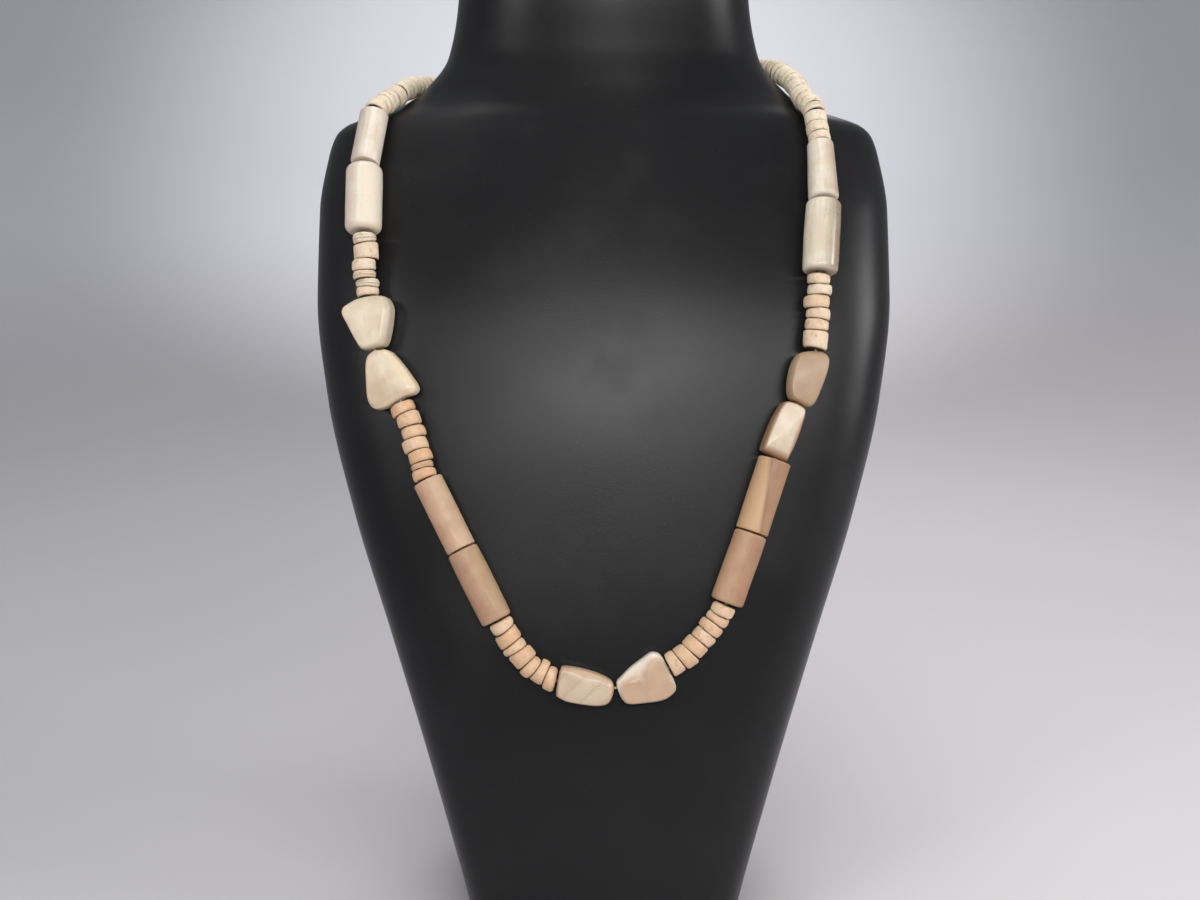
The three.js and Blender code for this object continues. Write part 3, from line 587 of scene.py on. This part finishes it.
# A flat bead's edge colour on its facets is partly its own tone and partly painted light and shade:
# lighter on facets that catch the light, darker on facets facing away.
flat_beads = [
    {"node": "wedge_bead_1", "thick": 0.0075, "dome": 0.0002, "body": (0.697, 0.583, 0.419),
     "edge": (0.568, 0.48, 0.352), "gloss": 0.28, "outline": [
        (-7.1, -7.0, 0.7), (-8.35, -3.05, 0.7), (-8.5, 1.34, 0.7), (-7.9, 5.12, 0.9),
        (-6.75, 7.52, 1.6), (-3.65, 8.6, 2.3), (-0.65, 8.2, 2.3), (4.53, 6.6, 2.2),
        (8.6, 4.6, 1.8), (9.5, 2.6, 1.2), (9.6, -2.0, 0.8), (9.0, -3.6, 0.7),
        (7.6, -4.5, 0.7), (3.52, -6.22, 0.7), (-0.88, -7.72, 0.7), (-3.6, -8.65, 0.7),
        (-5.2, -8.75, 0.7), (-6.4, -8.1, 0.7)]},
    {"node": "wedge_bead_2", "thick": 0.0075, "dome": 0.0004, "body": (0.63, 0.48, 0.32),
     # This wedge's lighter second colour across it is painted light.
     "far": (0.79, 0.67, 0.5), "edge": (0.77, 0.62, 0.42), "gloss": 0.26, "outline": [
        (-9.0, 1.78, 1.0), (-7.56, 4.22, 1.6), (-5.1, 5.42, 2.2), (0.09, 6.57, 3.0),
        (5.37, 7.29, 3.4), (9.0, 7.5, 3.2), (10.5, 6.6, 2.8), (10.9, 5.0, 2.6),
        (10.3, 2.18, 2.6), (10.2, -2.73, 2.6), (9.8, -6.01, 2.2), (8.58, -8.7, 1.4),
        (6.17, -9.6, 1.0), (2.87, -8.98, 0.9), (-2.7, -6.56, 0.8), (-6.94, -4.32, 0.8),
        (-9.04, -2.49, 0.8), (-9.6, -0.09, 0.8)]},
    {"node": "slab_bead_1", "thick": 0.008, "dome": 0.0003, "body": (0.628, 0.5, 0.366),
     "edge": (0.593, 0.409, 0.268), "gloss": 0.24,
     "veins": {"angle": 0.7, "close": 62.0, "color": (0.5, 0.35, 0.25)}, "outline": [
        (-9.04, -4.15, 0.8), (-9.1, 0.0, 0.7), (-8.62, 4.04, 0.8), (-7.69, 5.03, 1.6),
        (-3.06, 5.08, 2.1), (2.39, 4.35, 2.2), (7.0, 3.0, 2.2), (9.0, 1.3, 2.0),
        (9.35, -1.5, 1.8), (8.3, -4.7, 1.3), (5.46, -6.09, 0.9), (0.14, -6.38, 0.7),
        (-5.23, -6.0, 0.7), (-8.22, -4.93, 0.7)]},
    {"node": "wedge_bead_3", "thick": 0.0075, "dome": 0.0003, "body": (0.569, 0.388, 0.26),
     "edge": (0.82, 0.73, 0.6), "gloss": 0.28, "outline": [
        (-8.64, 1.86, 2.6), (-9.2, -0.79, 1.4), (-8.9, -4.0, 0.8), (-7.5, -6.1, 0.7),
        (-2.43, -7.75, 0.7), (3.45, -9.02, 0.7), (7.4, -8.2, 0.7), (8.87, -6.9, 0.7),
        (9.14, -4.29, 0.7), (8.91, 0.47, 0.8), (8.2, 4.49, 1.2), (6.86, 6.13, 2.6),
        (4.97, 6.66, 3.9), (1.66, 5.83, 4.4), (-2.65, 4.6, 4.4), (-6.75, 2.82, 3.6)]},
    {"node": "slab_bead_2", "thick": 0.008, "dome": 0.0004, "body": (0.676, 0.567, 0.436),
     "edge": (0.34, 0.19, 0.1), "gloss": 0.24, "outline": [
        (7.23, 5.21, 1.0), (8.81, 4.02, 0.9), (9.44, 1.56, 0.9), (9.28, -1.55, 0.9),
        (8.46, -3.1, 1.4), (5.4, -3.75, 2.1), (-1.6, -4.13, 2.3), (-8.6, -3.53, 2.6),
        (-9.5, -2.71, 2.8), (-9.7, 0.8, 2.9), (-9.4, 4.59, 2.4), (-8.5, 5.77, 1.4),
        (-3.93, 6.11, 1.0), (1.77, 6.02, 1.0)]},
    {"node": "wedge_bead_4", "thick": 0.007, "dome": 0.0003, "body": (0.391, 0.258, 0.148),
     "edge": (0.485, 0.344, 0.208), "gloss": 0.3, "outline": [
        (5.52, 5.1, 0.9), (7.19, 2.37, 1.0), (8.4, -1.11, 1.0), (8.3, -3.25, 1.0),
        (7.01, -4.84, 0.8), (3.44, -5.65, 0.7), (-1.25, -5.76, 0.7), (-6.16, -5.37, 0.7),
        (-8.8, -4.71, 0.7), (-9.9, -3.6, 0.7), (-10.0, -2.0, 0.7), (-9.8, 0.46, 0.7),
        (-9.2, 3.1, 0.7), (-6.49, 4.79, 0.7), (-2.49, 5.88, 0.7), (1.22, 6.28, 0.7),
        (3.71, 5.96, 0.7)]},
]
# Each facet rises to the face along these steps, from its share inwards to its share of the height.
facet_rise = [(0.0, 0.0), (0.0, 0.22), (0.02, 0.38), (0.06, 0.5), (0.13, 0.6), (0.26, 0.7),
              (0.45, 0.8), (0.65, 0.89), (0.8, 0.95), (0.91, 0.985), (1.0, 1.0)]


def curve_between(a, b, c, d, t):
    """The stretch from b to c of a smooth curve through four rows of numbers."""
    return 0.5 * (2 * b + (c - a) * t + (2 * a - 5 * b + 4 * c - d) * t**2
                  + (3 * b - a - 3 * c + d) * t**3)


def closed_curve(rows, count):
    """A smooth closed curve through rows of numbers, read at even steps of its length."""
    rows = np.array(rows)
    t = np.linspace(0, 1, outline_steps, endpoint=False)[:, None]
    fine = []
    for i in range(len(rows)):
        fine.append(curve_between(*(rows[(i + k) % len(rows)] for k in (-1, 0, 1, 2)), t))
    fine = np.concatenate(fine)
    length = np.concatenate([[0], np.cumsum(np.linalg.norm(
        np.roll(fine, -1, axis=0)[:, :2] - fine[:, :2], axis=1))])
    looped = np.vstack([fine, fine[:1]])
    stops = np.linspace(0, length[-1], count, endpoint=False)
    return np.stack([np.interp(stops, length, looped[:, k]) for k in range(rows.shape[1])], -1)


def flat_side(outline, facet, height, dome, out):
    """Rings from the outline's rim to the middle of one face, with the edge mark of each."""
    centre = outline.mean(axis=0)
    spoke = centre - outline
    spoke /= np.linalg.norm(spoke, axis=1)[:, None]
    rings, marks = [], []
    for inward, rise in facet_rise:
        ring = outline + spoke * (facet * inward)[:, None]
        rings.append(np.column_stack([ring, np.full(len(ring), out * (height - dome) * rise)]))
        marks.append(np.full(len(ring), 1.0 - 0.75 * inward))
    face = outline + spoke * facet[:, None]
    for share in (0.93, 0.82, 0.66, 0.48, 0.3, 0.13):
        ring = centre + (face - centre) * share
        up = height - dome * share**2
        rings.append(np.column_stack([ring, np.full(len(ring), out * up)]))
        marks.append(np.zeros(len(ring)))
    return rings, marks


for number, bead in enumerate(flat_beads):
    middle, axes, low, high = bead_place(bead["node"])
    curve = closed_curve(bead["outline"], flat_sides) * 0.001
    outline, facet = curve[:, :2], curve[:, 2]
    reach = [outline[:, 0].min(), outline[:, 0].max()]
    outline[:, 0] = np.interp(outline[:, 0], reach, [low[0], high[0]])
    height = bead["thick"] / 2
    front_rings, front_marks = flat_side(outline, facet, height, bead["dome"], 1)
    narrow = np.full(len(facet), back_facet)
    back_rings, back_marks = flat_side(outline, narrow, height, bead["dome"], -1)
    rings = back_rings[:0:-1] + front_rings
    marks = back_marks[:0:-1] + front_marks
    local = np.concatenate(rings)
    wobble = uneven(local, 0.006, flat_wobble, number + 20)[:, None]
    local += wobble * np.array([0.4, 0.6, 1.0])
    make_piece(
        "flat_" + bead["node"],
        middle + local @ axes,
        skin_faces(len(rings), flat_sides, False),
        bone_finish("bone_" + bead["node"], bead),
        "slab_bone",
        [bead["node"]],
        place=local + np.array([0, 0, flat_figure_start + number * flat_figure_step]),
        edge=np.concatenate(marks),
    )


# The discs: small drilled bone rings, sawn by eye, so that each has its own thickness, width and
# lean. Their rims are tumbled round and pitted, some are chipped, and stain settles in the pits.
disc_width = 0.0081
disc_thick = 0.0033
disc_sides = 40
disc_gap = 0.00014
disc_shift = 0.0006
disc_lean = 0.2
disc_lump = 0.0003
hidden_loose = 0.3
string_steps = 12
disc_rows = [
    {"nodes": ["discs_2"], "after": "tube_bead_2", "before": "wedge_bead_1", "warm": (0.1, 0.45),
     "discs": [(0.95, 0.97), (1.7, 1.03), (1.15, 0.99), (0.85, 0.98), (0.85, 0.97), (1.0, 0.93)]},
    {"nodes": ["discs_3"], "after": "wedge_bead_2", "before": "tube_bead_3", "warm": (0.75, 1.1),
     "discs": [(1.18, 1.0), (1.42, 0.97), (1.27, 0.98), (1.36, 1.03), (1.17, 0.98),
               (0.71, 0.91), (1.06, 0.95)]},
    {"nodes": ["discs_4"], "after": "tube_bead_4", "before": "slab_bead_1", "warm": (0.6, 1.0),
     "discs": [(1.12, 0.98), (1.5, 1.02), (0.92, 0.97), (1.53, 1.0), (1.06, 0.96),
               (1.2, 1.01), (1.16, 0.99)]},
    {"nodes": ["discs_5"], "after": "wedge_bead_3", "before": "tube_bead_5", "warm": (0.55, 0.9),
     "discs": [(1.21, 0.99), (1.37, 1.03), (1.37, 1.0), (1.21, 0.97), (1.09, 0.98),
               (1.08, 0.95), (1.1, 0.94)]},
    {"nodes": ["discs_6"], "after": "wedge_bead_4", "before": "tube_bead_7", "warm": (0.25, 0.65),
     "discs": [(1.95, 1.0), (1.08, 0.97), (1.15, 1.0), (1.3, 1.03), (1.15, 0.99), (1.0, 0.94)]},
    {"nodes": ["discs_7", "discs_1"], "after": "tube_bead_8", "before": "tube_bead_1",
     "warm": (0.0, 0.3), "discs": None},
]

disc_pale = (0.84, 0.75, 0.58, 1)
disc_tan = (0.69, 0.42, 0.24, 1)
disc_stain = (0.5, 0.29, 0.14, 1)
stain_size = 0.0016
pit_depth = 0.0001
disc_washed = (0.86, 0.72, 0.52, 1)
pit_brown = (0.34, 0.19, 0.09, 1)
joint_brown = (0.14, 0.08, 0.045, 1)
disc_bone, disc_tree, disc_shader = new_material(
    "bone_discs", IOR=1.5, Subsurface_Weight=0.1, Subsurface_Scale=0.0012, Specular_IOR_Level=0.35
)
disc_place = add(disc_tree, "Attribute", attribute_name="place").outputs["Vector"]
disc_tint = add(disc_tree, "Attribute", attribute_name="tint").outputs["Fac"]
disc_joint = add(disc_tree, "Attribute", attribute_name="edge").outputs["Fac"]
disc_figure = use_group(disc_tree, bone_figure, disc_place)
disc_color = between(disc_tree, disc_tint, disc_pale, disc_tan)
stain = cloudiness(disc_tree, disc_place, stain_size, 4.0, 0.65)
stained = scaled(disc_tree, above(disc_tree, stain, 0.5, 0.72), 0.0, 0.6)
disc_color = between(disc_tree, stained, disc_color, disc_stain)
washed = scaled(disc_tree, above(disc_tree, disc_figure["Patches"], 0.5, 0.75), 0.0, 0.4)
disc_color = between(disc_tree, washed, disc_color, disc_washed)
pitted = scaled(disc_tree, disc_figure["Pores"], 0.0, 0.6)
disc_color = between(disc_tree, pitted, disc_color, pit_brown)
inside = above(disc_tree, disc_joint, 0.3, 1.0)
disc_color = between(disc_tree, inside, disc_color, joint_brown)
rough_face = add(
    disc_tree, "Math", {0: disc_figure["Grit"], 1: disc_figure["Pores"]}, operation="SUBTRACT"
).outputs[0]
feed(
    disc_tree,
    disc_shader,
    Base_Color=disc_color,
    Roughness=scaled(disc_tree, stain, 0.42, 0.7),
    Normal=relief(disc_tree, rough_face, pit_depth),
)


def string_curve(first, last):
    """A fine smooth line through the thread's joints, from one to another."""
    t = np.linspace(0, 1, string_steps, endpoint=False)[:, None]
    fine = []
    for i in range(first, last):
        a, b, c, d = (joint(i + k) for k in (-1, 0, 1, 2))
        if i == first:
            a = 2 * b - c
        if i == last - 1:
            d = 2 * c - b
        fine.append(curve_between(a, b, c, d, t))
    return np.vstack([*fine, joint(last)])


def disc_profile(thick, radius, roundness):
    """Rows of thickness share, radius and face mark, from the bore out over the rim and back."""
    bend = np.linspace(0, math.pi / 2, 6)
    edge = roundness / thick
    face = [(0.05, bore, 1.0), (0.0, bore * 1.2, 1.0), (0.0, radius * 0.5, 1.0),
            (0.0, radius * 0.78, 1.0)]
    corner = [(edge * (1 - math.cos(a)), radius - roundness * (1 - math.sin(a)),
               1.0 - math.sin(a)) for a in bend]
    rim = [(0.35, radius * 1.006, 0.0), (0.5, radius * 1.01, 0.0)]
    half = face + corner + rim
    return np.array(half + [(1 - u, r, m) for u, r, m in half[-2::-1]])


def disc_body(start, end, start_way, end_way, width, loose, seed, chance):
    """One disc between two joints: its points, and their place and joint marks."""
    axis = unit(end - start)
    shift = np.array([chance.uniform(-1, 1) for _ in range(3)]) * disc_shift * loose
    shift -= axis * (axis @ shift)
    thick = np.linalg.norm(end - start) - disc_gap
    radius = disc_width / 2 * width
    rows = disc_profile(thick, radius, min(0.4 * thick, chance.uniform(0.0008, 0.0012)))
    spin = np.linspace(0, 2 * math.pi, disc_sides, endpoint=False) + chance.uniform(0, 1)
    share = np.repeat(rows[:, 0], disc_sides)[:, None]
    reach = np.repeat(rows[:, 1], disc_sides)
    turn = np.tile(spin, len(rows))
    local = np.column_stack([share[:, 0] * thick, reach * np.cos(turn), reach * np.sin(turn)])
    outer = np.clip((reach - bore * 1.3) / (radius - bore * 1.3), 0, 1)
    squat = np.column_stack([local[:, 0] * 0.6, local[:, 1:]])
    waist = uneven(squat, 0.003, disc_lump * loose, seed)
    grain = uneven(local, 0.0012, 0.0001, seed + 5)
    local[:, 1:] *= (1 + outer * (waist + grain) / radius)[:, None]
    if chance.random() < 0.5 * loose:
        bite_at = chance.uniform(0, 2 * math.pi)
        side = chance.choice([0.0, 1.0])
        away = np.angle(np.exp(1j * (turn - bite_at))) / 0.35
        bite = np.exp(-(away**2) - ((share[:, 0] - side) / 0.4) ** 2) * outer
        local[:, 1:] *= (1 - bite * chance.uniform(0.05, 0.15))[:, None]
    faces_out = uneven(local, 0.0022, 0.00012, seed + 9) * outer * (1 - 2 * share[:, 0])
    points = axis * (disc_gap / 2 * (1 - 2 * share) + faces_out[:, None]) + shift
    for weight, point, way in ((1 - share, start, start_way), (share, end, end_way)):
        axes = frame_at(point, unit(axis * 0.45 + way * 0.55))
        points += weight * (point + local[:, 1:2] * axes[1] + local[:, 2:3] * axes[2])
    return points, local, np.repeat(rows[:, 2], disc_sides)


def strung_stops(line, shares):
    """Points on a line at stops that divide its length by shares."""
    length = np.concatenate([[0], np.cumsum(np.linalg.norm(np.diff(line, axis=0), axis=1))])
    stops = np.concatenate([[0], np.cumsum(shares)]) / np.sum(shares) * length[-1]
    return np.stack([np.interp(stops, length, line[:, k]) for k in range(3)], -1)


chance = random.Random(41)
for row_number, row in enumerate(disc_rows):
    first = nearest_stretch(row["after"]) + 1
    last = nearest_stretch(row["before"])
    if last < first:
        last += len(joints)
    line = string_curve(first, last)
    discs, loose = row["discs"], 1.0
    if discs is None:
        loose = hidden_loose
        length = np.linalg.norm(np.diff(line, axis=0), axis=1).sum()
        discs = []
        while sum(thick for thick, _ in discs) * disc_thick < length - disc_thick / 2:
            discs.append((chance.uniform(0.78, 1.3), chance.uniform(0.915, 0.98)))
    stops = strung_stops(line, [thick for thick, _ in discs])
    ways = np.gradient(stops, axis=0)
    ways /= np.linalg.norm(ways, axis=1)[:, None]
    ways[0] = unit(joint(first) - joint(first - 1))
    ways[-1] = unit(joint(last + 1) - joint(last))
    lean = np.array([[chance.uniform(-1, 1) for _ in range(3)] for _ in stops])
    ways[1:-1] += lean[1:-1] * disc_lean * loose
    points, places, tints, marks, faces = [], [], [], [], []
    for i, (_, width) in enumerate(discs):
        seed = row_number * 20 + i * 1.7
        body, local, mark = disc_body(
            stops[i], stops[i + 1], ways[i], ways[i + 1], width, loose, seed, chance
        )
        skin = skin_faces(len(body) // disc_sides, disc_sides, True)
        faces += [[corner + i * len(body) for corner in face] for face in skin]
        points.append(body)
        places.append(local + np.array([chance.uniform(0, 1) for _ in range(3)]))
        tints.append(np.full(len(body), chance.uniform(*row["warm"])))
        marks.append(mark)
    make_piece(
        "string_of_" + "_".join(row["nodes"]),
        np.concatenate(points),
        faces,
        disc_bone,
        "disc_bone",
        row["nodes"],
        place=np.concatenate(places),
        tint=np.concatenate(tints),
        edge=np.concatenate(marks),
    )


# A pale floor runs up into a wall all round, and none of it belongs to the object. The floor is
# painted darker on the left as a painted shadow of the bust, and the paper in front of the bust
# is painted dark as painted shade.
stage_profile = [
    (0.0, 0.0), (0.9, 0.0), (1.3, 0.02), (1.7, 0.14), (2.0, 0.42), (2.15, 0.9), (2.2, 2.6)
]
stage_sides = 96
floor_right = (0.7, 0.66, 0.67, 1)
floor_painted_shadow = (0.5, 0.49, 0.505, 1)
wall_grey = (0.7, 0.7, 0.735, 1)
mottle_grey = (0.5, 0.5, 0.52, 1)
painted_room_shade = (0.3, 0.3, 0.31, 1)
stage_finish, stage_tree, stage_shader = new_material("pale_paper", Roughness=0.9)
stage_place = add(stage_tree, "TexCoord").outputs["Object"]
stage_right, stage_back, stage_up = add(stage_tree, "SeparateXYZ", {0: stage_place}).outputs
# Painted shadow: the floor to the left is painted darker, as the bust's shadow from the light on
# the right.
painted_shadow_side = above(stage_tree, stage_right, 0.2, -0.3)
ground = between(stage_tree, painted_shadow_side, floor_right, floor_painted_shadow)
paper = between(stage_tree, above(stage_tree, stage_up, 0.3, 0.0), wall_grey, ground)
mottled = scaled(stage_tree, cloudiness(stage_tree, stage_place, 0.4, 2.0), 0.0, 0.25)
paper = between(stage_tree, mottled, paper, mottle_grey)
# Painted shade: the paper in front of the bust is painted dark, standing for the unlit room that
# the black chest reflects.
painted_room_shade_mask = above(stage_tree, stage_back, -0.4, -1.2)
paper = between(stage_tree, painted_room_shade_mask, paper, painted_room_shade)
feed(stage_tree, stage_shader, Base_Color=paper)
around = np.linspace(0, 2 * math.pi, stage_sides, endpoint=False)
stage_points = [
    (max(reach, 0.001) * math.sin(a), max(reach, 0.001) * math.cos(a), up)
    for reach, up in stage_profile
    for a in around
]
stage_mesh = bpy.data.meshes.new("stage")
stage_mesh.from_pydata(stage_points, [], skin_faces(len(stage_profile), stage_sides, False)[:-1])
stage_mesh.shade_smooth()
stage_mesh.materials.append(stage_finish)
stage = bpy.data.objects.new("stage", stage_mesh)
stage.modifiers.new("smooth", "SUBSURF").render_levels = 2
bpy.context.scene.collection.objects.link(stage)


# Soft studio light: a broad panel overhead, a long low one and a small one in front that glow in
# the black chest and in the polished beads, weaker ones at the sides and behind, and a spot on the
# back wall.
panels = [
    {"name": "top_panel", "at": (-0.1, -0.2, 1.35), "wide": 0.7, "high": 0.6, "power": 4.0},
    {"name": "front_panel", "at": (0.14, -0.62, 0.4), "wide": 1.0, "high": 0.05, "power": 2.6},
    {"name": "near_panel", "at": (0.03, -0.6, 0.4), "wide": 0.12, "high": 0.06, "power": 0.5},
    {"name": "left_panel", "at": (-0.8, -0.7, 0.55), "wide": 0.3, "high": 0.15, "power": 1.8},
    {"name": "right_panel", "at": (1.1, -0.25, 0.5), "wide": 0.3, "high": 0.4, "power": 3.8},
    {"name": "back_panel", "at": (0.1, 0.9, 1.2), "wide": 0.8, "high": 0.8, "power": 6.0},
]
for panel in panels:
    lamp = bpy.data.lights.new(panel["name"], "AREA")
    lamp.shape = "RECTANGLE"
    lamp.size, lamp.size_y = panel["wide"], panel["high"]
    lamp.energy = panel["power"]
    lamp_object = bpy.data.objects.new(panel["name"], lamp)
    lamp_object.location = panel["at"]
    aim = Vector((0, 0, 0.2)) - lamp_object.location
    lamp_object.rotation_euler = aim.to_track_quat("-Z", "Y").to_euler()
    bpy.context.scene.collection.objects.link(lamp_object)
wall_spot = bpy.data.lights.new("wall_spot", "SPOT")
wall_spot.energy = 72.0
wall_spot.spot_size = math.radians(70)
wall_spot.spot_blend = 1.0
wall_spot.shadow_soft_size = 0.1
wall_spot_object = bpy.data.objects.new("wall_spot", wall_spot)
wall_spot_object.location = (0, 0.7, 1.5)
wall_aim = Vector((0, 1.9, 0.5)) - wall_spot_object.location
wall_spot_object.rotation_euler = wall_aim.to_track_quat("-Z", "Y").to_euler()
bpy.context.scene.collection.objects.link(wall_spot_object)
world = bpy.data.worlds.new("room")
world.use_nodes = True
world.node_tree.nodes["Background"].inputs[0].default_value = (0.92, 0.94, 1.0, 1)
world.node_tree.nodes["Background"].inputs[1].default_value = 0.42
bpy.context.scene.world = world
bpy.context.scene.view_settings.view_transform = "Standard"
